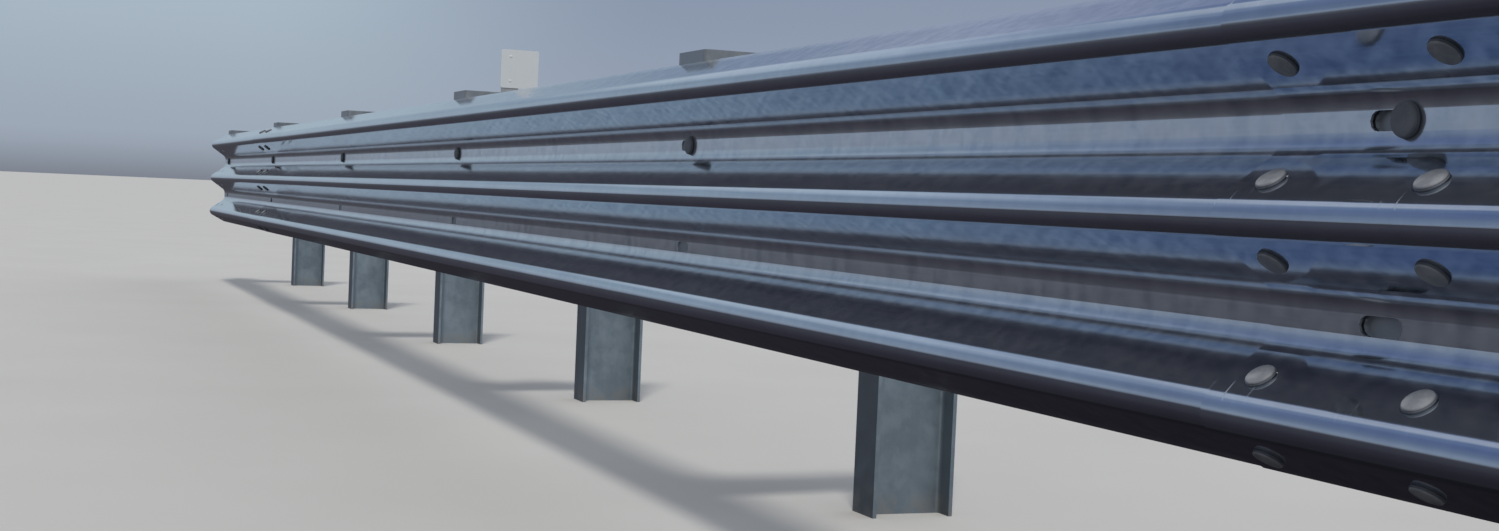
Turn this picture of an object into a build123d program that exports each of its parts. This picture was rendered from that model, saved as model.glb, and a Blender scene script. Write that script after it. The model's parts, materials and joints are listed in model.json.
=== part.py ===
from build123d import *
import os
from math import cos, radians, sin, tan

# Highway guardrail: a three-wave rolled beam on spacer brackets and H-section posts.
# X runs along the rail, and traffic meets the +X end first. -Y is the road side and Z is up.
# The origin lies on the foot of the middle post, in the middle of its web, at ground level.

# Row
bay_length = 1905.0  # post to post
bays_each_side = 3  # bays on each side of the middle post
bays_each_side_of_splice = 2  # bays from the middle post to each end of the middle beam
beam_centre_height = 610.0  # above the ground

# Rolled beam
beam_sheet = 2.7
beam_depth = 83.0  # crest front to back plane
wave_pitch = 194.0  # crest to crest
bend_radius = 24.0  # crests, to the middle of the sheet
valley_bend_radius = 32.0  # to the middle of the sheet
crest_flat = 1.0
inner_flank_angle = 54.5  # from the plane of the rail
outer_flank_angle = 61.5

# Holes in the beam
slot_sides = 10  # sides to a full turn at the ends of a slot
post_slot_length = 58.0
post_slot_width = 20.0
splice_slot_length = 29.0
splice_slot_width = 23.0
splice_column_gap = 216.0  # between the two columns of a splice
splice_edge = 51.0  # outer column to the beam's end
splice_row_rise = 38.5  # bolt row to the crest beside it, up or down

# Lap of two beams
lap_clearance = 0.2  # between the sheets on the steepest flank
ease_run = 600.0  # length over which the front beam is drawn out
ease_start_gap = 20.0  # between the rear beam's end and the eased stretch

# Posts
post_depth = 175.0  # across the rail
post_flange = 90.0  # along the rail
post_flange_sheet = 8.0
post_web_sheet = 5.0
post_root_radius = 8.0  # where web and flange meet
post_top_drop = 7.0  # below the bracket's top edge
slot_before_post = 67.0  # middle of the beam's slot to the middle of the post's web

# Spacer brackets
bracket_sheet = 4.0
bracket_reach = 372.5  # beam's back to post
bracket_front_flange = 140.0
bracket_rear_flange = 62.0
bracket_bend_radius = 8.0  # to the middle of the sheet
bracket_top_rise = 23.0  # above the beam's top rim
bracket_front_height = 460.0
bracket_rear_height = 380.0
bracket_web_past_slot = 70.0  # middle of the beam's slot to the web's open face

# Bolts and their holes
bolt_diameter = 16.0
bolt_hole_diameter = 18.0
bolt_hole_sides = 8  # bolts and rivets cover the round holes, so these have few sides
post_bolt_spacing = 200.0  # between the two bolts that hold bracket and post
post_bolt_from_top = 90.0  # upper one below the bracket's top edge
post_bolt_from_web = 27.5  # from the middle of the post's web

# Marker on the middle bracket
marker_side = 110.0
marker_sheet = 2.0
marker_corner_radius = 6.0
marker_gap = 14.0  # bracket's top edge to the plate's lower edge
marker_from_beam = 100.0  # beam's back to the plate's road-side edge
strap_width = 50.0
strap_sheet = 3.0
strap_inset = 3.0  # inside the plate's road-side edge
strap_grip = 90.0  # overlap on the bracket's web
strap_top_drop = 15.0  # below the plate's top edge
strap_hole_diameter = 9.0
strap_hole_spacing = 50.0
rivet_hole_diameter = 5.0
rivet_hole_spacing = 70.0

# Places along and across the row
beam_back_y = -post_depth / 2 - bracket_reach
post_face_y = -post_depth / 2
slot_past_web = -slot_before_post
bolt_from_slot = (post_slot_length - bolt_diameter) / 2
bolt_past_web = slot_past_web + bolt_from_slot
lap_reach = splice_column_gap / 2 + splice_edge
lap_step = (beam_sheet + lap_clearance) / cos(radians(outer_flank_angle))

# Shape of the beam's section, on the middle of its sheet, from the middle crest up
valley_offset = wave_pitch / 2
crest_y = beam_sheet / 2 - beam_depth
crest_arc_y = crest_y + bend_radius
valley_arc_y = -beam_sheet / 2 - valley_bend_radius
bend_radii = bend_radius + valley_bend_radius
inner_flank = radians(inner_flank_angle)
outer_flank = radians(outer_flank_angle)
inner_flank_depth = valley_arc_y - crest_arc_y + bend_radii * cos(inner_flank)
inner_flank_rise = inner_flank_depth / tan(inner_flank)
crest_edge = crest_flat / 2
valley_edge = valley_offset - crest_edge - bend_radii * sin(inner_flank) - inner_flank_rise
rim_y = -beam_sheet / 2 * cos(outer_flank)
outer_flank_depth = rim_y - crest_arc_y + bend_radius * cos(outer_flank)
rim_rise = crest_edge + bend_radius * sin(outer_flank) + outer_flank_depth / tan(outer_flank)
rim_z = wave_pitch + rim_rise
beam_half_height = rim_z + beam_sheet / 2 * sin(outer_flank)

# Heights
bracket_top_z = beam_centre_height + beam_half_height + bracket_top_rise
post_height = bracket_top_z - post_top_drop
upper_slot_z = beam_centre_height + valley_offset
post_bolt_z = bracket_top_z - post_bolt_from_top - post_bolt_spacing / 2
marker_bottom_z = bracket_top_z + marker_gap


def section_face(x, forward):
    """Section of the rolled sheet at x, moved forward to the road side."""
    section_plane = Plane((x, beam_back_y - forward, beam_centre_height), x_dir=(0, 1, 0), z_dir=(1, 0, 0))
    with BuildSketch(section_plane) as section:
        with BuildLine():
            Line((crest_y, 0), (crest_y, crest_edge))
            middle_crest = CenterArc((crest_arc_y, crest_edge), bend_radius, 180, -inner_flank_angle)
            valley_low = CenterArc(
                (valley_arc_y, valley_offset - valley_edge),
                valley_bend_radius,
                -inner_flank_angle,
                inner_flank_angle,
            )
            valley_high = CenterArc(
                (valley_arc_y, valley_offset + valley_edge), valley_bend_radius, 0, inner_flank_angle
            )
            top_crest_low = CenterArc(
                (crest_arc_y, wave_pitch - crest_edge),
                bend_radius,
                180 + inner_flank_angle,
                -inner_flank_angle,
            )
            top_crest_high = CenterArc(
                (crest_arc_y, wave_pitch + crest_edge), bend_radius, 180, -outer_flank_angle
            )
            Line(middle_crest @ 1, valley_low @ 0)
            Line(valley_low @ 1, valley_high @ 0)
            Line(valley_high @ 1, top_crest_low @ 0)
            Line(top_crest_low @ 1, top_crest_high @ 0)
            Line(top_crest_high @ 1, (rim_y, rim_z))
            mirror(about=Plane.XZ)
        trace(line_width=beam_sheet)
    return section.sketch


def round_hole(diameter):
    RegularPolygon(diameter / 2, bolt_hole_sides, major_radius=False)


def slot_hole(length, width):
    with BuildSketch() as slot:
        Rectangle(length - width, width)
        with GridLocations(length - width, 0, 2, 1):
            RegularPolygon(width / 2, slot_sides)
    return slot.sketch


def flank_plane(x, forward, crest_z, side):
    """Plane on the flank of a wave where a splice bolt goes, facing the road; side is 1 above a crest."""
    on_outer_flank = crest_z * side > 0
    flank = outer_flank if on_outer_flank else inner_flank
    along_flank = (splice_row_rise - crest_edge - bend_radius * sin(flank)) * tan(flank)
    flank_y = crest_arc_y - bend_radius * cos(flank) + along_flank
    return Plane(
        (x, beam_back_y - forward + flank_y, beam_centre_height + crest_z + side * splice_row_rise),
        x_dir=(1, 0, 0),
        z_dir=(0, -cos(flank), side * sin(flank)),
    )


def rolled_beam(near_number, far_number, laps_over_next):
    """Beam from one numbered post to another; where it laps over the next, its far end is drawn forward."""
    near_slot_x = near_number * bay_length + slot_past_web
    far_slot_x = far_number * bay_length + slot_past_web
    near_end_x = near_slot_x + lap_reach
    far_end_x = far_slot_x - lap_reach
    far_forward = lap_step if laps_over_next else 0
    ease_end_x = far_slot_x + lap_reach + ease_start_gap
    ease_start_x = ease_end_x + ease_run
    straight_end_x = ease_start_x if laps_over_next else far_end_x
    cut_depth = 2 * beam_sheet + lap_step

    with BuildPart() as beam:
        add(section_face(near_end_x, 0))
        extrude(amount=near_end_x - straight_end_x, dir=(-1, 0, 0))
        if laps_over_next:
            ease = Vector(-ease_run, -lap_step, 0)
            add(section_face(ease_start_x, 0))
            extrude(amount=ease.length, dir=ease.normalized())
            add(section_face(ease_end_x, lap_step))
            extrude(amount=ease_end_x - far_end_x, dir=(-1, 0, 0))

        # Slots for the post bolts, one in each valley at each post
        post_count = near_number - far_number + 1
        slots_centre = ((near_slot_x + far_slot_x) / 2, beam_back_y, beam_centre_height)
        with BuildSketch(Plane(slots_centre, x_dir=(1, 0, 0), z_dir=(0, -1, 0))):
            with GridLocations(bay_length, 2 * valley_offset, post_count, 2):
                add(slot_hole(post_slot_length, post_slot_width))
        extrude(amount=cut_depth, both=True, mode=Mode.SUBTRACT)

        # Splice holes, square to the flanks above and below each crest
        splice_planes = [
            flank_plane(slot_x, forward, crest_z, side)
            for slot_x, forward in ((near_slot_x, 0), (far_slot_x, far_forward))
            for crest_z in (-wave_pitch, 0, wave_pitch)
            for side in (-1, 1)
        ]
        with BuildSketch(*splice_planes):
            with GridLocations(splice_column_gap, 0, 2, 1):
                add(slot_hole(splice_slot_length, splice_slot_width))
        extrude(amount=2 * beam_sheet, both=True, mode=Mode.SUBTRACT)
    return beam.part


def rolled_post(post_x):
    """Rolled H-section with its web across the rail, drilled on the far side of the web."""
    with BuildPart() as post:
        with BuildSketch(Plane((post_x, 0, 0))) as section:
            Rectangle(post_web_sheet, post_depth)
            with GridLocations(0, post_depth - post_flange_sheet, 1, 2):
                Rectangle(post_flange, post_flange_sheet)
            roots = section.vertices().sort_by_distance((0, 0))[:4]
            fillet(roots, radius=post_root_radius)
        extrude(amount=post_height)

        bolt_line_x = post_x - post_bolt_from_web
        with BuildSketch(Plane((bolt_line_x, post_face_y, post_bolt_z), x_dir=(1, 0, 0), z_dir=(0, -1, 0))):
            with GridLocations(0, post_bolt_spacing, 1, 2):
                round_hole(bolt_hole_diameter)
        extrude(amount=-2 * post_flange_sheet, mode=Mode.SUBTRACT)
    return post.part


def spacer_bracket(post_x, carries_marker):
    """Bent channel between beam and post: wide flange on the beam, narrow flange on the post."""
    web_x = post_x + slot_past_web + bracket_web_past_slot
    web_line_x = web_x - bracket_sheet / 2
    front_line_y = beam_back_y + bracket_sheet / 2
    rear_line_y = post_face_y - bracket_sheet / 2
    front_bottom_z = bracket_top_z - bracket_front_height
    rear_bottom_z = bracket_top_z - bracket_rear_height
    bolt_cut = 2 * bracket_sheet

    with BuildPart() as bracket:
        with BuildSketch(Plane.XY.offset(front_bottom_z)):
            with BuildLine():
                FilletPolyline(
                    (web_x - bracket_front_flange, front_line_y),
                    (web_line_x, front_line_y),
                    (web_line_x, rear_line_y),
                    (web_x - bracket_rear_flange, rear_line_y),
                    radius=bracket_bend_radius,
                )
            trace(line_width=bracket_sheet)
        extrude(amount=bracket_front_height)

        # The lower edge climbs from the beam to the post
        web_start_y = beam_back_y + bracket_sheet
        with BuildSketch(Plane.YZ.offset(web_x - bracket_front_flange)):
            with BuildLine():
                Polyline(
                    (web_start_y, front_bottom_z),
                    (post_face_y, front_bottom_z),
                    (post_face_y, rear_bottom_z),
                    close=True,
                )
            make_face()
        extrude(amount=bracket_front_flange, mode=Mode.SUBTRACT)

        beam_bolt = (post_x + bolt_past_web, beam_back_y, upper_slot_z)
        with BuildSketch(Plane(beam_bolt, x_dir=(1, 0, 0), z_dir=(0, 1, 0))):
            round_hole(bolt_hole_diameter)
        extrude(amount=bolt_cut, mode=Mode.SUBTRACT)

        post_bolts = (post_x - post_bolt_from_web, post_face_y, post_bolt_z)
        with BuildSketch(Plane(post_bolts, x_dir=(1, 0, 0), z_dir=(0, -1, 0))):
            with GridLocations(0, post_bolt_spacing, 1, 2):
                round_hole(bolt_hole_diameter)
        extrude(amount=bolt_cut, mode=Mode.SUBTRACT)

        if carries_marker:
            with BuildSketch(strap_holes_plane(post_x)):
                with GridLocations(0, strap_hole_spacing, 1, 2):
                    round_hole(strap_hole_diameter)
            extrude(amount=-bolt_cut, mode=Mode.SUBTRACT)
    return bracket.part


def strap_holes_plane(post_x):
    """Plane on the open face of a bracket's web, in the middle of the strap's two bolts."""
    web_x = post_x + slot_past_web + bracket_web_past_slot
    strap_y = beam_back_y + marker_from_beam + strap_inset + strap_width / 2
    return Plane((web_x, strap_y, bracket_top_z - strap_grip / 2), x_dir=(0, 1, 0), z_dir=(1, 0, 0))


def rivet_holes_plane(post_x):
    """Plane on the strap's open face, in the middle of the marker plate's two rivets."""
    web_x = post_x + slot_past_web + bracket_web_past_slot
    strap_y = beam_back_y + marker_from_beam + strap_inset + strap_width / 2
    plate_middle_z = marker_bottom_z + marker_side / 2
    return Plane((web_x + strap_sheet, strap_y, plate_middle_z), x_dir=(0, 1, 0), z_dir=(1, 0, 0))


def marker_strap(post_x):
    """Flat strap that holds the marker plate above the bracket."""
    strap_height = strap_grip + marker_gap + marker_side - strap_top_drop
    bolts_plane = strap_holes_plane(post_x)
    strap_bottom_to_bolts = strap_grip / 2
    with BuildPart() as strap:
        with BuildSketch(bolts_plane):
            with Locations((0, strap_height / 2 - strap_bottom_to_bolts)):
                Rectangle(strap_width, strap_height)
        extrude(amount=strap_sheet)
        with BuildSketch(bolts_plane):
            with GridLocations(0, strap_hole_spacing, 1, 2):
                round_hole(strap_hole_diameter)
        extrude(amount=strap_sheet, mode=Mode.SUBTRACT)
        with BuildSketch(rivet_holes_plane(post_x)):
            with GridLocations(0, rivet_hole_spacing, 1, 2):
                round_hole(rivet_hole_diameter)
        extrude(amount=-strap_sheet, mode=Mode.SUBTRACT)
    return strap.part


def marker_plate(post_x):
    """Square plate that faces the traffic, riveted to its strap."""
    rivets_plane = rivet_holes_plane(post_x)
    plate_past_strap = marker_side / 2 - strap_inset - strap_width / 2
    with BuildPart() as plate:
        with BuildSketch(rivets_plane):
            with Locations((plate_past_strap, 0)):
                RectangleRounded(marker_side, marker_side, marker_corner_radius)
        extrude(amount=marker_sheet)
        with BuildSketch(rivets_plane):
            with GridLocations(0, rivet_hole_spacing, 1, 2):
                round_hole(rivet_hole_diameter)
        extrude(amount=marker_sheet, mode=Mode.SUBTRACT)
    return plate.part


def write_piece(piece, piece_name):
    piece.label = piece_name
    export_step(piece, f"parts/{piece_name}.step")


os.makedirs("parts", exist_ok=True)

# Beams: each one laps over the next in the direction of traffic
splice = bays_each_side_of_splice
write_piece(rolled_beam(bays_each_side, splice, True), "near_beam")
write_piece(rolled_beam(splice, -splice, True), "middle_beam")
write_piece(rolled_beam(-splice, -bays_each_side, False), "far_beam")

# Posts and brackets, numbered from the end that traffic meets first
for index in range(2 * bays_each_side + 1):
    post_x = (bays_each_side - index) * bay_length
    is_middle = index == bays_each_side
    write_piece(rolled_post(post_x), f"post_{index + 1}")
    write_piece(spacer_bracket(post_x, is_middle), f"spacer_bracket_{index + 1}")

write_piece(marker_strap(0), "marker_strap")
write_piece(marker_plate(0), "marker_plate")
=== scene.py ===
import json
import math

import bmesh
import bpy
from mathutils import Matrix, Vector


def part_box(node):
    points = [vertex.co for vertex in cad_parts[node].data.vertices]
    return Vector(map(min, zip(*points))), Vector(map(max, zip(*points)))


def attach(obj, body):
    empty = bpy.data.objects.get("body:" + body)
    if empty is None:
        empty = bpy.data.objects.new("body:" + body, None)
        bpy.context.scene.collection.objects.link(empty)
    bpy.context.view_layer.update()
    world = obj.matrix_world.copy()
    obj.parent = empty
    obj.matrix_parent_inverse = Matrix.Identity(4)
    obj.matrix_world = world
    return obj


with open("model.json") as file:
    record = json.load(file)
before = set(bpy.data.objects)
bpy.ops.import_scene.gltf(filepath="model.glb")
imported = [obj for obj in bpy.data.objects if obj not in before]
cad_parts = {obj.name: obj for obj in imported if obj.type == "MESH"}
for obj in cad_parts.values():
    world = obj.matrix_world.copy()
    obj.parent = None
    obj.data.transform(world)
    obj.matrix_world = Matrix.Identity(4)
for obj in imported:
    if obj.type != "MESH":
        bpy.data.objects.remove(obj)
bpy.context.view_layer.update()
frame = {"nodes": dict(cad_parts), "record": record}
print("frame of the guardrail loaded with", len(frame["nodes"]), "pieces")

# Sizes of the rolled beam and its laps, in metres, for the bolts that sit on it
railSizes = {
    "centreHeight": 0.610,
    "wavePitch": 0.194,
    "sheet": 0.0027,
    "depth": 0.083,
    "bendRadius": 0.024,  # of the crests
    "crestFlat": 0.001,
    "innerFlank": math.radians(54.5),
    "outerFlank": math.radians(61.5),
    "lapClearance": 0.0002,
    "slotBeforePost": 0.067,
    "spliceColumnGap": 0.216,
    "spliceRowRise": 0.0385,
}

bracketSizes = {
    "postFace": -0.0875,  # the side of the post that the bracket stands on
    "postFlange": 0.008,
    "sheet": 0.004,
    "beamBolt": -0.046,  # along the row, from the middle of the post's web
    "postBolt": -0.0275,
    "postBoltsBelowTop": (0.090, 0.290),
}

postNumbers = range(1, 8)
splicePosts = (2, 6)  # posts where one beam laps over the next
spliceColumns = (-0.5, 0.5)  # shares of the gap between a splice's two columns of bolts

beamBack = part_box("far_beam")[1].y
beamFront = beamBack - railSizes["depth"]
lapStep = (railSizes["sheet"] + railSizes["lapClearance"]) / math.cos(railSizes["outerFlank"])


def postX(number):
    low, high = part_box(f"post_{number}")
    return (low.x + high.x) / 2


# Small builders for round and six-sided hardware

sharpEdge = math.radians(32)  # gentler bends in the hardware are shaded smooth


def placeAt(spot, outward):
    outward = Vector(outward).normalized()
    turn = outward.to_track_quat("Z", "X").to_matrix().to_4x4()
    return Matrix.Translation(Vector(spot)) @ turn


def ringRows(mesh, place, rows, steps, rimRows=0):
    # Each row is (radius, height); a radius may also be a function of the angle, and zero closes the end.
    # The first rimRows bands take the piece's second material.
    previous = None
    for index, (radius, height) in enumerate(rows):
        if radius == 0:
            current = [mesh.verts.new(place @ Vector((0, 0, height)))]
        else:
            current = []
            for step in range(steps):
                angle = 2 * math.pi * step / steps
                reach = radius(angle) if callable(radius) else radius
                spot = Vector((reach * math.cos(angle), reach * math.sin(angle), height))
                current.append(mesh.verts.new(place @ spot))
        if previous:
            joinRings(mesh, previous, current, 1 if index <= rimRows else 0)
        previous = current


def joinRings(mesh, low, high, slot):
    count = max(len(low), len(high))
    for step in range(count):
        after = (step + 1) % count
        if len(low) == 1:
            corners = (low[0], high[step], high[after])
        elif len(high) == 1:
            corners = (low[step], low[after], high[0])
        else:
            corners = (low[step], low[after], high[after], high[step])
        mesh.faces.new(corners).material_index = slot


def hexOutline(acrossFlats, limit):
    # Reach of a hexagon at an angle, with its corners cut back to the limit
    def reach(angle):
        toFlat = math.remainder(angle - math.pi / 6, math.pi / 3)
        return min(limit, acrossFlats / 2 / math.cos(toFlat))
    return reach


def finishHardware(mesh, name, *materials):
    data = bpy.data.meshes.new(name)
    bmesh.ops.recalc_face_normals(mesh, faces=mesh.faces)
    mesh.to_mesh(data)
    mesh.free()
    for face in data.polygons:
        face.use_smooth = True
    data.set_sharp_from_angle(angle=sharpEdge)
    for material in materials:
        data.materials.append(material)
    piece = bpy.data.objects.new(name, data)
    bpy.context.scene.collection.objects.link(piece)
    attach(piece, "root")


# Shader helpers

def newMaterial(name):
    material = bpy.data.materials.new(name)
    material.use_nodes = True
    tree = material.node_tree
    shader = tree.nodes["Principled BSDF"]
    return material, tree, shader


def addNode(tree, kind, settings=None, **sockets):
    node = tree.nodes.new(kind)
    for key, value in (settings or {}).items():
        setattr(node, key, value)
    for key, value in sockets.items():
        setSocket(tree, node.inputs[key.replace("_", " ")], value)
    return node


def setSocket(tree, socket, value):
    if isinstance(value, bpy.types.NodeSocket):
        tree.links.new(value, socket)
    else:
        socket.default_value = value


def stretched(tree, spot, scale, turn=(0, 0, 0)):
    settings = {"vector_type": "POINT"}
    node = addNode(tree, "ShaderNodeMapping", settings, Vector=spot, Rotation=turn, Scale=scale)
    return node.outputs["Vector"]


def rowCoordinates(tree, scale=(1, 1, 1)):
    # Metres along, across and up the row, each stretched by its own factor
    return stretched(tree, addNode(tree, "ShaderNodeTexCoord").outputs["Object"], scale)


def axesOf(tree, vector):
    return addNode(tree, "ShaderNodeSeparateXYZ", None, Vector=vector).outputs


def facing(tree):
    return axesOf(tree, addNode(tree, "ShaderNodeNewGeometry").outputs["Normal"])


def noise(tree, where, grain):
    # grain is the texture's scale, detail and roughness
    scale, detail, roughness = grain
    settings = {"Scale": scale, "Detail": detail, "Roughness": roughness}
    return addNode(tree, "ShaderNodeTexNoise", None, Vector=where, **settings).outputs["Fac"]


def fade(tree, value, low, high, toLow=0.0, toHigh=1.0, curve="SMOOTHSTEP"):
    node = addNode(tree, "ShaderNodeMapRange", {"interpolation_type": curve}, Value=value)
    node.inputs["From Min"].default_value = low
    node.inputs["From Max"].default_value = high
    node.inputs["To Min"].default_value = toLow
    node.inputs["To Max"].default_value = toHigh
    return node.outputs["Result"]


def calc(tree, operation, first, second=0):
    node = addNode(tree, "ShaderNodeMath", {"operation": operation})
    setSocket(tree, node.inputs[0], first)
    setSocket(tree, node.inputs[1], second)
    return node.outputs["Value"]


def product(tree, *values):
    total = values[0]
    for value in values[1:]:
        total = calc(tree, "MULTIPLY", total, value)
    return total


def blendColour(tree, amount, first, second, mode="MIX"):
    node = addNode(tree, "ShaderNodeMix", {"data_type": "RGBA", "blend_type": mode})
    for index, value in ((0, amount), (6, first), (7, second)):  # the colour mix's own sockets
        setSocket(tree, node.inputs[index], value)
    return node.outputs[2]


def bump(tree, height, distance, strength=1.0, onTop=None):
    node = addNode(tree, "ShaderNodeBump", None, Height=height, Distance=distance, Strength=strength)
    if onTop is not None:
        tree.links.new(onTop, node.inputs["Normal"])
    return node.outputs["Normal"]


# Rolled beam: bright zinc that mirrors what is around it, faintly clouded, with soft upright blooms in
# its valleys, streaks from rolling along it, and light diagonal streaks on upward flanks by the splice bolts

beamLook = {
    "cold": (0.41, 0.485, 0.585, 1),
    "pale": (0.63, 0.69, 0.76, 1),
    "metallic": (0.94, 0.85),  # clean sheet and bloomed valley
    "roughness": (0.08, 0.17),
    "roughFrom": (0.2, 0.9),  # sum of the shares below that gives those two
    # each grain is a scale, a detail and a roughness, and edges are where a mark starts and is full
    "clouds": {
        "grain": (42.0, 4, 0.55),
        "edges": (0.34, 0.66),
        "height": 0.00006,
        "calmCrest": (0.008, 0.022),  # behind the crests' front, where the clouds come in
        "onCrests": 0.15,  # share of them that is left on the crests
        "roughShare": 0.4,
    },
    "dullPatches": {
        "colour": (0.40, 0.42, 0.50, 1),
        "grain": (5.0, 4, 0.5),
        "edges": (0.36, 0.66),
        "amount": 0.25,
    },
    "rollLines": {
        "stretch": (0.012, 1, 1),
        "grain": (260.0, 2, 0.5),
        "edges": (0.42, 0.66),
        "amount": 0.3,
        "height": 0.00002,
        "roughShare": 0.3,
    },
    "blooms": {
        "colour": (0.74, 0.77, 0.80, 1),
        "stretch": (1, 0.22, 0.12),
        "grain": (30.0, 1, 0.4),
        "edges": (0.34, 0.62),
        "shares": (0.60, 1.0),  # least and most of the bloom in a valley
        "valley": (0.022, 0.006),  # in front of the beam's back, where they start and are full
        "amount": 0.6,
        "roughShare": 0.5,
    },
    "waves": {
        "stretch": (0.4, 2.0, 2.0),
        "grain": (2.2, 0, 0.5),
        "height": 0.0022,
    },
    "lightStreaks": {
        "colour": (0.86, 0.88, 0.92, 1),
        "turn": math.radians(117),
        "stretch": (0.07, 0, 1),
        "grain": (190.0, 1, 0.4),
        "edges": (0.57, 0.70),
        "ahead": 0.03,  # middle of the marks, from a splice bolt towards the far end
        "reach": (0.01, 0.068),  # along the rail, where they are full and where they end
        "rise": (0.026, 0.038),  # above the crest, where they fade out
        "upward": (0.35, 0.6),
        "amount": 0.5,
        "roughness": 0.5,
    },
    "cutEdges": {
        "colour": (0.66, 0.70, 0.74, 1),
        "facing": (0.55, 0.8),
        "roughness": 0.5,
    },
}


def zincClouds(tree, plain, spot):
    clouds = beamLook["clouds"]
    start, full = clouds["calmCrest"]
    onFlank = fade(tree, spot["Y"], beamFront + start, beamFront + full, clouds["onCrests"], 1.0)
    swing = calc(tree, "SUBTRACT", noise(tree, plain, clouds["grain"]), 0.5)
    return calc(tree, "ADD", product(tree, swing, onFlank), 0.5)


def valleyBlooms(tree, spot):
    blooms = beamLook["blooms"]
    start, full = blooms["valley"]
    inValley = fade(tree, spot["Y"], beamBack - start, beamBack - full)
    upright = noise(tree, rowCoordinates(tree, blooms["stretch"]), blooms["grain"])
    return product(tree, fade(tree, upright, *blooms["edges"], *blooms["shares"]), inValley)


def nearSplices(tree, spot):
    # 1 beside a splice's bolts and 0 away from them
    lightStreaks = beamLook["lightStreaks"]
    closest = None
    for number in splicePosts:
        for column in spliceColumns:
            x = postX(number) - railSizes["slotBeforePost"] + column * railSizes["spliceColumnGap"]
            gap = calc(tree, "ABSOLUTE", calc(tree, "SUBTRACT", spot["X"], x - lightStreaks["ahead"]))
            closest = gap if closest is None else calc(tree, "MINIMUM", closest, gap)
    return fade(tree, closest, *lightStreaks["reach"], 1.0, 0.0)


# light diagonal streaks, only on upward-facing flanks close to the crests and near the splice bolts
def lightStreaksNearSplices(tree, plain, spot, normal):
    lightStreaks = beamLook["lightStreaks"]
    turned = stretched(tree, plain, (1, 1, 1), (0, lightStreaks["turn"], 0))
    strokes = noise(tree, stretched(tree, turned, lightStreaks["stretch"]), lightStreaks["grain"])
    fromCentre = calc(tree, "SUBTRACT", spot["Z"], railSizes["centreHeight"])
    overCrest = calc(tree, "PINGPONG", fromCentre, railSizes["wavePitch"] / 2)
    lowDown = fade(tree, overCrest, *lightStreaks["rise"], 1.0, 0.0)
    upward = fade(tree, normal["Z"], *lightStreaks["upward"])
    marked = product(tree, upward, lowDown, nearSplices(tree, spot))
    return product(tree, fade(tree, strokes, *lightStreaks["edges"]), marked)


def rolledZinc():
    look = beamLook
    material, tree, shader = newMaterial("rolledZinc")
    plain = rowCoordinates(tree)
    spot = axesOf(tree, plain)
    normal = facing(tree)

    clouds = zincClouds(tree, plain, spot)
    darkening = fade(tree, noise(tree, plain, look["dullPatches"]["grain"]), *look["dullPatches"]["edges"])
    rollLines = noise(tree, rowCoordinates(tree, look["rollLines"]["stretch"]), look["rollLines"]["grain"])
    streaks = fade(tree, rollLines, *look["rollLines"]["edges"])
    blooms = valleyBlooms(tree, spot)
    lightStreaked = lightStreaksNearSplices(tree, plain, spot, normal)
    cut = fade(tree, calc(tree, "ABSOLUTE", normal["X"]), *look["cutEdges"]["facing"])

    colour = blendColour(tree, fade(tree, clouds, *look["clouds"]["edges"]), look["cold"], look["pale"])
    for amount, share, tone in (
        (darkening, look["dullPatches"]["amount"], look["dullPatches"]["colour"]),
        (streaks, look["rollLines"]["amount"], look["pale"]),
        (blooms, look["blooms"]["amount"], look["blooms"]["colour"]),
        (lightStreaked, look["lightStreaks"]["amount"], look["lightStreaks"]["colour"]),
    ):
        colour = blendColour(tree, product(tree, amount, share), colour, tone)
    colour = blendColour(tree, cut, colour, look["cutEdges"]["colour"])
    tree.links.new(colour, shader.inputs["Base Color"])

    rough = product(tree, clouds, look["clouds"]["roughShare"])
    rough = calc(tree, "ADD", rough, product(tree, rollLines, look["rollLines"]["roughShare"]))
    rough = calc(tree, "ADD", rough, product(tree, blooms, look["blooms"]["roughShare"]))
    rough = fade(tree, rough, *look["roughFrom"], *look["roughness"])
    rough = calc(tree, "MAXIMUM", rough, product(tree, lightStreaked, look["lightStreaks"]["roughness"]))
    rough = calc(tree, "MAXIMUM", rough, product(tree, cut, look["cutEdges"]["roughness"]))
    tree.links.new(rough, shader.inputs["Roughness"])

    waves = noise(tree, rowCoordinates(tree, look["waves"]["stretch"]), look["waves"]["grain"])
    relief = bump(tree, waves, look["waves"]["height"])
    relief = bump(tree, clouds, look["clouds"]["height"], 1.0, relief)
    relief = bump(tree, rollLines, look["rollLines"]["height"], 1.0, relief)
    tree.links.new(relief, shader.inputs["Normal"])
    tree.links.new(fade(tree, blooms, 0.0, 1.0, *look["metallic"]), shader.inputs["Metallic"])
    return material


# Posts, brackets and strap: matt zinc, mottled, with run-off marks down the faces

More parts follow.
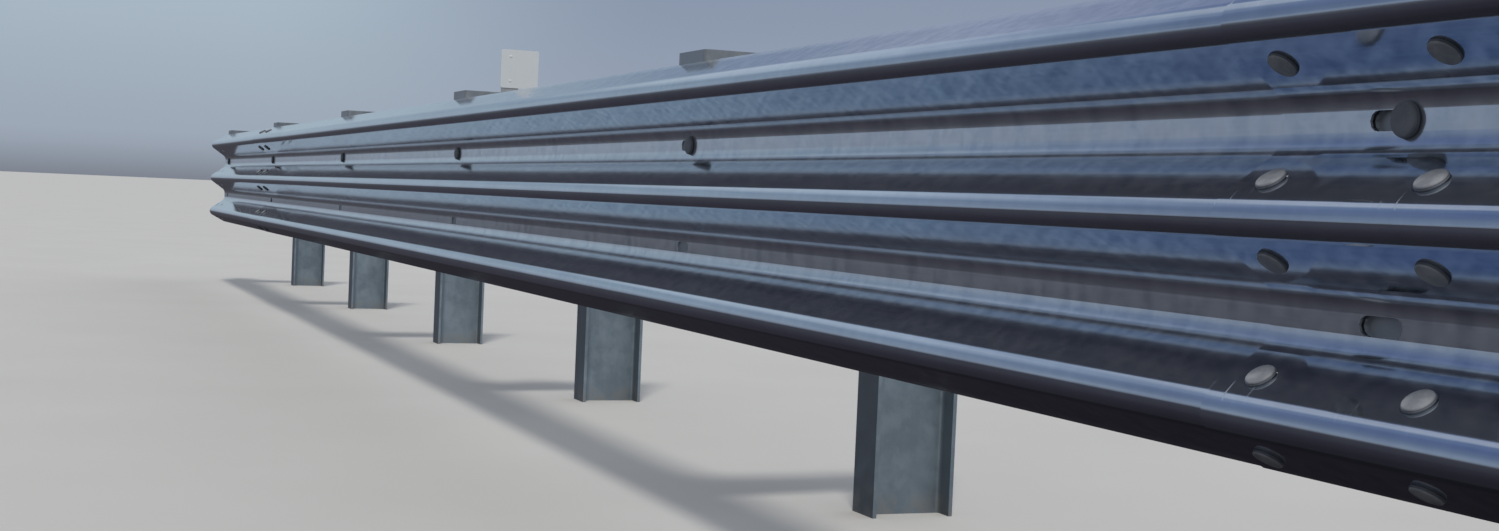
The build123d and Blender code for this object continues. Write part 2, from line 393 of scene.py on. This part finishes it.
mattZincLook = {
    "post": {
        "tone": (0.285, 0.36, 0.42, 1),
        "light": (0.425, 0.51, 0.575, 1),
        "roughness": (0.40, 0.60),
        "metallic": 0.65,
        "shadedFlange": {  # painted shade: the flange on the beam's side is coloured darker to stand for its shade
            "colour": (0.15, 0.17, 0.19, 1),
            "facing": (-0.8, -0.4),  # across the row, where it is full and where it ends
            "amount": 0.75,
        },
    },
    "bracket": {
        "tone": (0.28, 0.31, 0.345, 1),
        "light": (0.42, 0.45, 0.485, 1),
        "roughness": (0.38, 0.58),
        "metallic": 0.8,
    },
    "strap": {
        "tone": (0.45, 0.47, 0.49, 1),
        "light": (0.60, 0.62, 0.64, 1),
        "roughness": (0.40, 0.56),
        "metallic": 0.8,
    },
    "mottle": {"grain": (26.0, 6, 0.62), "edges": (0.36, 0.66), "amount": 0.45},
    "patches": {"grain": (5.0, 4, 0.5), "edges": (0.38, 0.64), "amount": 0.4},
    "runs": {"stretch": (1, 1, 0.06), "grain": (38.0, 4, 0.6), "edges": (0.5, 0.74), "amount": 0.3},
    "roughFrom": (0.0, 0.85),  # mottle and patches together that give the two roughnesses
    "skin": {"grain": (120.0, 4, 0.6), "height": 0.0002, "strength": 0.8},
    "dents": {"grain": (9.0, 2, 0.5), "height": 0.0012},
    "footDust": {"colour": (0.36, 0.32, 0.27, 1), "rise": 0.07, "amount": 0.55},
}


def mattZinc(name, look):
    shared = mattZincLook
    material, tree, shader = newMaterial(name)
    plain = rowCoordinates(tree)
    height = axesOf(tree, plain)["Z"]

    mottle = fade(tree, noise(tree, plain, shared["mottle"]["grain"]), *shared["mottle"]["edges"])
    patches = fade(tree, noise(tree, plain, shared["patches"]["grain"]), *shared["patches"]["edges"])
    downTheFace = noise(tree, rowCoordinates(tree, shared["runs"]["stretch"]), shared["runs"]["grain"])
    runs = fade(tree, downTheFace, *shared["runs"]["edges"])

    mottled = product(tree, mottle, shared["mottle"]["amount"])
    amount = calc(tree, "ADD", mottled, product(tree, patches, shared["patches"]["amount"]))
    colour = blendColour(tree, amount, look["tone"], look["light"])
    colour = blendColour(tree, product(tree, runs, shared["runs"]["amount"]), colour, look["light"])
    # painted shade: faces of the post that look across to the beam's side are blended towards a dark grey
    if "shadedFlange" in look:
        flange = look["shadedFlange"]
        darkening = fade(tree, facing(tree)["Y"], *flange["facing"], flange["amount"], 0.0)
        colour = blendColour(tree, darkening, colour, flange["colour"])
    dust = shared["footDust"]
    dusty = product(tree, fade(tree, height, 0.0, dust["rise"], dust["amount"], 0.0), mottle)
    colour = blendColour(tree, dusty, colour, dust["colour"])
    tree.links.new(colour, shader.inputs["Base Color"])

    rough = fade(tree, amount, *shared["roughFrom"], *look["roughness"])
    tree.links.new(rough, shader.inputs["Roughness"])
    skin = noise(tree, plain, shared["skin"]["grain"])
    dents = noise(tree, plain, shared["dents"]["grain"])
    relief = bump(tree, skin, shared["skin"]["height"], shared["skin"]["strength"])
    relief = bump(tree, dents, shared["dents"]["height"], 1.0, relief)
    tree.links.new(relief, shader.inputs["Normal"])
    shader.inputs["Metallic"].default_value = look["metallic"]
    return material


# Bolts, nuts and washers: dull dipped zinc, grainier than the sheet, with painted shade round the heads'
# rims

boltLook = {
    "rail": {"dark": (0.13, 0.14, 0.165, 1), "light": (0.25, 0.26, 0.29, 1)},
    "splice": {"dark": (0.20, 0.21, 0.24, 1), "light": (0.42, 0.43, 0.45, 1)},
    # painted shade: darker tones for the heads' rims, standing for the shade on their sides
    "rim": {"dark": (0.08, 0.09, 0.11, 1), "light": (0.20, 0.21, 0.24, 1)},
    "grain": {"grain": (260.0, 5, 0.65), "amount": 0.5, "height": 0.0003, "strength": 0.7},
    "patches": {"grain": (48.0, 3, 0.5), "edges": (0.36, 0.66), "amount": 0.5},
    "roughness": (0.46, 0.66),
    "roughFrom": (0.15, 0.85),
    "metallic": 0.10,
    "specular": 0.25,
}


def boltZinc(name, tones):
    look = boltLook
    material, tree, shader = newMaterial(name)
    plain = rowCoordinates(tree)
    grain = noise(tree, plain, look["grain"]["grain"])
    patches = fade(tree, noise(tree, plain, look["patches"]["grain"]), *look["patches"]["edges"])
    grainy = product(tree, grain, look["grain"]["amount"])
    amount = calc(tree, "ADD", grainy, product(tree, patches, look["patches"]["amount"]))
    tree.links.new(blendColour(tree, amount, tones["dark"], tones["light"]), shader.inputs["Base Color"])
    rough = fade(tree, amount, *look["roughFrom"], *look["roughness"])
    tree.links.new(rough, shader.inputs["Roughness"])
    relief = bump(tree, grain, look["grain"]["height"], look["grain"]["strength"])
    tree.links.new(relief, shader.inputs["Normal"])
    shader.inputs["Metallic"].default_value = look["metallic"]
    shader.inputs["Specular IOR Level"].default_value = look["specular"]
    return material


# Marker plate: plain white sheeting with a fine cell pattern and a little grey film

markerLook = {
    "white": (0.80, 0.835, 0.86, 1),
    "film": {"colour": (0.70, 0.73, 0.75, 1), "grain": (22.0, 5, 0.6), "edges": (0.45, 0.8), "most": 0.22},
    "cells": {"scale": 330.0, "wall": 0.12, "amount": 0.10, "height": 0.00005, "strength": 0.5},
    "roughness": (0.28, 0.46),
}


def markerSheeting():
    look = markerLook
    film = look["film"]
    material, tree, shader = newMaterial("markerSheeting")
    plain = rowCoordinates(tree)
    filmed = fade(tree, noise(tree, plain, film["grain"]), *film["edges"], 0.0, film["most"])
    settings = {"feature": "DISTANCE_TO_EDGE"}
    cells = addNode(tree, "ShaderNodeTexVoronoi", settings, Vector=plain, Scale=look["cells"]["scale"])
    walls = fade(tree, cells.outputs["Distance"], 0.0, look["cells"]["wall"], 1.0, 0.0)
    colour = blendColour(tree, filmed, look["white"], film["colour"])
    colour = blendColour(tree, product(tree, walls, look["cells"]["amount"]), colour, film["colour"])
    tree.links.new(colour, shader.inputs["Base Color"])
    rough = fade(tree, filmed, 0.0, film["most"], *look["roughness"])
    tree.links.new(rough, shader.inputs["Roughness"])
    relief = bump(tree, walls, look["cells"]["height"], look["cells"]["strength"])
    tree.links.new(relief, shader.inputs["Normal"])
    return material


zincMaterials = {
    "rolled_beam": rolledZinc(),
    "post": mattZinc("postZinc", mattZincLook["post"]),
    "bracket": mattZinc("bracketZinc", mattZincLook["bracket"]),
    "strap": mattZinc("strapZinc", mattZincLook["strap"]),
    "marker": markerSheeting(),
    "railBolts": boltZinc("railBoltZinc", boltLook["rail"]),
    "spliceBolts": boltZinc("spliceBoltZinc", boltLook["splice"]),
    "shadedBoltRims": boltZinc("boltRimPaintedShade", boltLook["rim"]),
}

for row in frame["record"]["subparts"]:
    node = frame["nodes"][row["node"]]
    for index in range(len(node.material_slots)):
        node.material_slots[index].material = zincMaterials[row["material_slot"]]
print("zinc and sheeting on every packed piece")


# Button heads, nuts, washers and threaded shanks, all of them in metres

railHead = {
    "radius": 0.0176,
    "rim": 0.0024,
    "face": 0.0148,  # radius where the shoulder ends
    "shoulder": 0.0060,
    "height": 0.0074,
    "steps": 44,
    "rimRows": 5,  # bands from the underside that take the rim's painted shade
}
spliceHead = {
    "radius": 0.0165,
    "rim": 0.0020,
    "face": 0.0138,
    "shoulder": 0.0048,
    "height": 0.0060,
    "steps": 40,
    "rimRows": 5,
}
buttonForm = {
    "underside": 0.55,  # share of the radius where the seat starts
    "softRim": 0.03,  # share of the radius that is taken off the rim's two corners
    "shoulderRows": 5,
    "crownRows": 5,
}
hexHead = {
    "flats": 0.0240,
    "height": 0.0100,
    "chamfer": 0.0015,
}
hexNut = {
    "flats": 0.0255,
    "height": 0.0130,
    "chamfer": 0.0016,
    "bore": 0.0074,
}
hexForm = {
    "face": 0.985,  # share of the width across flats that the round face has
    "chamferRows": 4,
    "steps": 48,
}
washer = {
    "radius": 0.0170,
    "thickness": 0.0030,
    "edge": 0.0004,
    "steps": 36,
}
shank = {
    "radius": 0.0079,
    "root": 0.0070,
    "pitch": 0.0020,
    "sunk": 0.0005,  # start inside the head
    "pastNut": 0.0100,
}
threadForm = {
    "crest": 0.25,  # shares of the pitch
    "root": 0.75,
    "tip": 0.86,  # share of the radius at the cut end
    "steps": 24,
}


def addButton(mesh, place, size):
    # A rolled rim, a rounded shoulder and a low crown, as a forged button head has
    form = buttonForm
    radius = size["radius"]
    soft = radius * form["softRim"]
    shoulderRise = size["shoulder"] - size["rim"]
    crownRise = size["height"] - size["shoulder"]
    rows = [
        (radius * form["underside"], 0.0),
        (radius - soft, 0.0),
        (radius, soft),
        (radius, size["rim"] - soft),
    ]
    for step in range(form["shoulderRows"] + 1):
        turn = math.pi / 2 * step / form["shoulderRows"]
        reach = size["face"] + (radius - soft - size["face"]) * math.cos(turn)
        rows.append((reach, size["rim"] + shoulderRise * math.sin(turn)))
    for step in range(1, form["crownRows"] + 1):
        share = 1 - step / form["crownRows"]
        rows.append((size["face"] * share, size["height"] - crownRise * share ** 2))
    ringRows(mesh, place, rows, size["steps"], size["rimRows"])


def addWasher(mesh, place, size, bore):
    edge = size["edge"]
    thickness = size["thickness"]
    rows = [
        (bore, 0.0),
        (size["radius"] - edge, 0.0),
        (size["radius"], edge),
        (size["radius"], thickness - edge),
        (size["radius"] - edge, thickness),
        (bore, thickness),
        (bore, 0.0),
    ]
    ringRows(mesh, place, rows, size["steps"])


def hexFace(size):
    return size["flats"] / 2 * hexForm["face"]


def hexCorner(size):
    return size["flats"] / math.sqrt(3)


def hexChamfer(size):
    # Outlines and rises of a chamfer's rings, from the round face to the full hexagon
    rings = []
    for step in range(1, hexForm["chamferRows"] + 1):
        limit = hexFace(size) + (hexCorner(size) - hexFace(size)) * step / hexForm["chamferRows"]
        rings.append((hexOutline(size["flats"], limit), size["chamfer"] * step / hexForm["chamferRows"]))
    return rings


def chamferedTop(size):
    return [(outline, size["height"] - rise) for outline, rise in reversed(hexChamfer(size))]


def addNut(mesh, place, size):
    rows = [(size["bore"], 0.0), (hexFace(size), 0.0)]
    rows += hexChamfer(size) + chamferedTop(size)
    rows += [(hexFace(size), size["height"]), (size["bore"], size["height"])]
    ringRows(mesh, place, rows, hexForm["steps"])


def addHexHead(mesh, place, size):
    rows = [(0, 0.0), (hexOutline(size["flats"], hexCorner(size)), 0.0)]
    rows += chamferedTop(size)
    rows += [(hexFace(size), size["height"]), (0, size["height"])]
    ringRows(mesh, place, rows, hexForm["steps"])


def addShank(mesh, place, size, end):
    form = threadForm
    start = -size["sunk"]
    rows = [(0, start), (size["radius"], start)]
    turns = int((end - start) / size["pitch"])
    for turn in range(turns):
        height = start + turn * size["pitch"]
        rows.append((size["radius"], height + size["pitch"] * form["crest"]))
        rows.append((size["root"], height + size["pitch"] * form["root"]))
    rows += [(size["radius"] * form["tip"], end), (0, end)]
    ringRows(mesh, place, rows, form["steps"])


def throughBolt(mesh, spot, outward, grip, head, headSize):
    # spot is where the head seats, outward points to the head, and the nut sits grip behind
    out = Vector(outward).normalized()
    head(mesh, placeAt(spot, out), headSize)
    back = Vector(spot) - out * grip
    addWasher(mesh, placeAt(back, -out), washer, shank["radius"])
    seat = back - out * washer["thickness"]
    addNut(mesh, placeAt(seat, -out), hexNut)
    reach = grip + washer["thickness"] + hexNut["height"] + shank["pastNut"]
    addShank(mesh, placeAt(spot, -out), shank, reach)


# Bolts that hold the beam to its brackets, one in each upper valley

railBolts = {
    "seatProud": 0.0011,  # the head bears on the two bends, ahead of the valley's flat
}


def drawnForward(number):
    return lapStep if number in splicePosts else 0.0


for number in postNumbers:
    mesh = bmesh.new()
    valleyFront = beamBack - railSizes["sheet"] - drawnForward(number)
    seat = valleyFront - railBolts["seatProud"]
    valleyHeight = railSizes["centreHeight"] + railSizes["wavePitch"] / 2
    spot = (postX(number) + bracketSizes["beamBolt"], seat, valleyHeight)
    throughBolt(mesh, spot, (0, -1, 0), beamBack + bracketSizes["sheet"] - seat, addButton, railHead)
    finishHardware(mesh, f"rail_bolt_{number}", zincMaterials["railBolts"], zincMaterials["shadedBoltRims"])
print("one bolt at each post's upper slot")


# Splice bolts: twelve at each lap, square to the flanks, each as low as its hole lets it hang

spliceSlack = {
    "drop": 0.0025,  # along the flank
    "upperBack": 0.003,  # along the rail, for those on upward flanks
}


def flankSpot(x, crest, side):
    # Middle of the front sheet where a splice bolt goes, which way it faces, and the flank's angle
    size = railSizes
    onOuterFlank = crest * side > 0
    flank = size["outerFlank"] if onOuterFlank else size["innerFlank"]
    radius = size["bendRadius"]
    crestArc = size["sheet"] / 2 - size["depth"] + radius
    pastBend = size["spliceRowRise"] - size["crestFlat"] / 2 - radius * math.sin(flank)
    y = beamBack - lapStep + crestArc - radius * math.cos(flank) + pastBend * math.tan(flank)
    z = size["centreHeight"] + crest + side * size["spliceRowRise"]
    outward = Vector((0, -math.cos(flank), side * math.sin(flank)))
    return Vector((x, y, z)), outward, flank


for number in splicePosts:
    mesh = bmesh.new()
    middleX = postX(number) - railSizes["slotBeforePost"]
    for column in spliceColumns:
        for crest in (-railSizes["wavePitch"], 0, railSizes["wavePitch"]):
            for side in (-1, 1):
                x = middleX + column * railSizes["spliceColumnGap"]
                spot, outward, flank = flankSpot(x, crest, side)
                downFlank = Vector((0, -side * math.sin(flank), -math.cos(flank)))
                spot += downFlank * spliceSlack["drop"]
                if side > 0:
                    spot.x -= spliceSlack["upperBack"]
                seat = spot + outward * railSizes["sheet"] / 2
                grip = lapStep * math.cos(flank) + railSizes["sheet"]
                throughBolt(mesh, seat, outward, grip, addButton, spliceHead)
    finishHardware(mesh, f"splice_bolts_{number}", zincMaterials["spliceBolts"], zincMaterials["shadedBoltRims"])
print("twelve splice bolts at each lap")


# Bolts between bracket and post

for number in postNumbers:
    mesh = bmesh.new()
    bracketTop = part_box(f"spacer_bracket_{number}")[1].z
    for drop in bracketSizes["postBoltsBelowTop"]:
        front = bracketSizes["postFace"] - bracketSizes["sheet"]
        spot = (postX(number) + bracketSizes["postBolt"], front, bracketTop - drop)
        grip = bracketSizes["sheet"] + bracketSizes["postFlange"]
        throughBolt(mesh, spot, (0, -1, 0), grip, addHexHead, hexHead)
    finishHardware(mesh, f"bracket_bolts_{number}", zincMaterials["railBolts"])
print("two bolts at each bracket and post")


# Marker plate: two small bolts hold its strap, two rivets hold the plate

markerFixings = {
    "line": -0.332,  # across the row
    "boltsBelowBracketTop": (0.020, 0.070),
    "rivetsAbovePlateFoot": (0.090, 0.020),
}
strapHead = {
    "flats": 0.0130,
    "height": 0.0053,
    "chamfer": 0.0008,
}
strapNut = {
    "flats": 0.0130,
    "height": 0.0065,
    "chamfer": 0.0008,
    "bore": 0.0039,
}
strapShank = {
    "radius": 0.0039,
    "root": 0.0034,
    "pitch": 0.00125,
    "sunk": 0.0003,
    "pastNut": 0.0040,
}
rivetHead = {
    "radius": 0.0038,
    "rim": 0.0003,
    "face": 0.0022,
    "shoulder": 0.0008,
    "height": 0.0011,
    "steps": 24,
    "rimRows": 0,
}

strapLow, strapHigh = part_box("marker_strap")
plateLow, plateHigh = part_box("marker_plate")
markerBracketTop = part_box("spacer_bracket_4")[1].z

mesh = bmesh.new()
for drop in markerFixings["boltsBelowBracketTop"]:
    height = markerBracketTop - drop
    spot = Vector((strapHigh.x, markerFixings["line"], height))
    addHexHead(mesh, placeAt(spot, (1, 0, 0)), strapHead)
    back = Vector((strapLow.x - bracketSizes["sheet"], markerFixings["line"], height))
    addNut(mesh, placeAt(back, (-1, 0, 0)), strapNut)
    reach = spot.x - back.x + strapNut["height"] + strapShank["pastNut"]
    addShank(mesh, placeAt(spot, (-1, 0, 0)), strapShank, reach)
finishHardware(mesh, "marker_strap_bolts", zincMaterials["spliceBolts"])

mesh = bmesh.new()
for rise in markerFixings["rivetsAbovePlateFoot"]:
    height = plateLow.z + rise
    addButton(mesh, placeAt((plateHigh.x, markerFixings["line"], height), (1, 0, 0)), rivetHead)
    addButton(mesh, placeAt((strapLow.x, markerFixings["line"], height), (-1, 0, 0)), rivetHead)
finishHardware(mesh, "marker_rivets", zincMaterials["marker"])
print("marker strap and plate fixed")


# Pale floor

floorLook = {
    "halfSize": 600.0,
    "tone": (0.53, 0.512, 0.485, 1),
    "light": (0.59, 0.572, 0.545, 1),
    "grain": (1.3, 4, 0.5),
    "roughness": 0.85,
}


def floorPaint():
    material, tree, shader = newMaterial("paleFloor")
    mottle = noise(tree, rowCoordinates(tree), floorLook["grain"])
    colour = blendColour(tree, mottle, floorLook["tone"], floorLook["light"])
    tree.links.new(colour, shader.inputs["Base Color"])
    shader.inputs["Roughness"].default_value = floorLook["roughness"]
    return material


half = floorLook["halfSize"]
floorMesh = bpy.data.meshes.new("paleFloor")
corners = [(-half, -half, 0), (half, -half, 0), (half, half, 0), (-half, half, 0)]
floorMesh.from_pydata(corners, [], [(0, 1, 2, 3)])
floorMesh.materials.append(floorPaint())
floor = bpy.data.objects.new("paleFloor", floorMesh)
bpy.context.scene.collection.objects.link(floor)
floor.visible_glossy = False  # the zinc takes the darker lower half of the surroundings instead
floor.visible_diffuse = False


# Soft studio light. Towards the far end there is a cool gradient with three soft panels, darker from below
# behind the rail. A paler, even room is everywhere else, and one broad key stands high in front of the rail.

studio = {
    # each row: height of the direction, -1 straight down to 1 straight up, and the light from there
    "room": (
        (-1.00, (0.065, 0.065, 0.070, 1)),
        (-0.20, (0.080, 0.080, 0.086, 1)),
        (-0.02, (0.125, 0.127, 0.135, 1)),
        (0.03, (0.300, 0.312, 0.330, 1)),
        (0.30, (0.400, 0.425, 0.460, 1)),
        (1.00, (0.480, 0.515, 0.560, 1)),
    ),
    "roomBehindRail": 1.6,  # times brighter behind the rail
    "roomBehindReach": (0.0, 0.6),  # across the row, where that starts and is full
    "roomStarts": (-0.66, -0.46),  # along the row, where the room takes over from the gradient
    "gradient": (
        (-1.00, (0.016, 0.015, 0.018, 1)),
        (-0.60, (0.024, 0.022, 0.028, 1)),
        (-0.40, (0.036, 0.032, 0.043, 1)),
        (-0.20, (0.055, 0.052, 0.067, 1)),
        (-0.08, (0.066, 0.065, 0.078, 1)),
        (-0.02, (0.100, 0.102, 0.118, 1)),
        (0.02, (0.330, 0.380, 0.460, 1)),
        (0.09, (0.270, 0.325, 0.425, 1)),
        (0.25, (0.172, 0.228, 0.345, 1)),
        (0.50, (0.098, 0.142, 0.305, 1)),
        (1.00, (0.085, 0.135, 0.310, 1)),
    ),
    "behindRail": 0.45,  # share of the light from below that is left behind the rail
    "behindReach": (-0.02, 0.14),  # across the row, where that starts and is full
    "belowReach": (-0.08, 0.0),  # up, where it is full and where it ends
    # each panel: its colour, then where it starts, is full, stops being full and ends, across and up
    "panels": (
        {
            "colour": (0.14, 0.175, 0.145, 1),
            "across": (-0.60, -0.20, 0.11, 0.34),
            "up": (0.00, 0.12, 0.45, 0.85),
        },
        {
            "colour": (0.235, 0.23, 0.21, 1),
            "across": (-0.48, -0.12, 0.22, 0.60),
            "up": (0.25, 0.37, 0.43, 0.58),
        },
        {
            "colour": (0.29, 0.27, 0.22, 1),
            "across": (-0.34, -0.24, 0.06, 0.14),
            "up": (0.50, 0.60, 0.90, 1.00),
        },
    ),
    "strength": 1.0,
    "keyFrom": (0.55, -0.25, 1.0),
    "keyAngle": 9.0,
    "keyStrength": 1.6,
    "keyColour": (1.0, 0.97, 0.92),
}


def heightRamp(tree, rise, stops):
    ramp = addNode(tree, "ShaderNodeValToRGB", None, Fac=rise)
    elements = ramp.color_ramp.elements
    for index, (height, tone) in enumerate(stops):
        place = (height + 1) / 2
        if index < 1:
            elements[0].position = place
            elements[0].color = tone
        elif index == len(stops) - 1:
            elements[len(elements) - 1].position = place
            elements[len(elements) - 1].color = tone
        else:
            elements.new(place).color = tone
    return ramp.outputs["Color"]


def darkerBehind(tree, towards, light):
    below = fade(tree, towards["Z"], *studio["belowReach"], 1.0, 0.0)
    behind = product(tree, fade(tree, towards["Y"], *studio["behindReach"]), below)
    share = fade(tree, behind, 0, 1, 1, studio["behindRail"])
    return blendColour(tree, share, (0, 0, 0, 1), light)


def softPanel(tree, towards, panel):
    shares = []
    for axis, (start, full, last, end) in (("Y", panel["across"]), ("Z", panel["up"])):
        shares.append(fade(tree, towards[axis], start, full))
        shares.append(fade(tree, towards[axis], last, end, 1.0, 0.0))
    return product(tree, *shares)


def evenRoom(tree, towards, rise):
    lift = fade(tree, towards["Y"], *studio["roomBehindReach"], 1.0, studio["roomBehindRail"])
    room = heightRamp(tree, rise, studio["room"])
    lifted = addNode(tree, "ShaderNodeVectorMath", {"operation": "SCALE"}, Vector=room, Scale=lift)
    return lifted.outputs["Vector"]


def softStudio():
    world = bpy.data.worlds.new("softStudio")
    world.use_nodes = True
    tree = world.node_tree
    towards = axesOf(tree, addNode(tree, "ShaderNodeTexCoord").outputs["Generated"])
    rise = fade(tree, towards["Z"], -1.0, 1.0, curve="LINEAR")
    light = darkerBehind(tree, towards, heightRamp(tree, rise, studio["gradient"]))
    for panel in studio["panels"]:
        light = blendColour(tree, softPanel(tree, towards, panel), light, panel["colour"], "ADD")
    inRoom = fade(tree, towards["X"], *studio["roomStarts"])
    light = blendColour(tree, inRoom, light, evenRoom(tree, towards, rise))
    backdrop = tree.nodes["Background"]
    tree.links.new(light, backdrop.inputs["Color"])
    backdrop.inputs["Strength"].default_value = studio["strength"]
    return world


bpy.context.scene.world = softStudio()
key = bpy.data.lights.new("softKey", "SUN")
key.energy = studio["keyStrength"]
key.angle = math.radians(studio["keyAngle"])
key.color = studio["keyColour"]
keyLamp = bpy.data.objects.new("softKey", key)
keyLamp.rotation_euler = Vector(studio["keyFrom"]).to_track_quat("Z", "Y").to_euler()
bpy.context.scene.collection.objects.link(keyLamp)
print("floor and soft light set")


# Camera at the photograph's place

cameraSpot = {
    "place": (5.0815, -1.666, 0.605),
    "turnFromRail": 0.3926,  # radians between the view and the rail
    "dip": 0.0352,
    "roll": 0.0435,
    "lens": 43.42,
    "sensorWidth": 36.0,
    "farClip": 3000.0,
}

turn, dip, roll = (cameraSpot[key] for key in ("turnFromRail", "dip", "roll"))
sight = Vector((-math.cos(turn) * math.cos(dip), math.sin(turn) * math.cos(dip), -math.sin(dip)))
levelRight = Vector((math.sin(turn), math.cos(turn), 0))
levelUp = levelRight.cross(sight)
right = levelRight * math.cos(roll) + levelUp * math.sin(roll)
up = levelUp * math.cos(roll) - levelRight * math.sin(roll)
aim = Matrix((right, up, -sight)).transposed().to_4x4()

lens = bpy.data.cameras.new("roadsideCamera")
lens.lens = cameraSpot["lens"]
lens.sensor_width = cameraSpot["sensorWidth"]
lens.sensor_fit = "HORIZONTAL"
lens.clip_end = cameraSpot["farClip"]
camera = bpy.data.objects.new("roadsideCamera", lens)
camera.matrix_world = Matrix.Translation(Vector(cameraSpot["place"])) @ aim
bpy.context.scene.collection.objects.link(camera)
bpy.context.scene.camera = camera
bpy.context.scene.view_settings.view_transform = "Standard"
print("camera at the roadside")
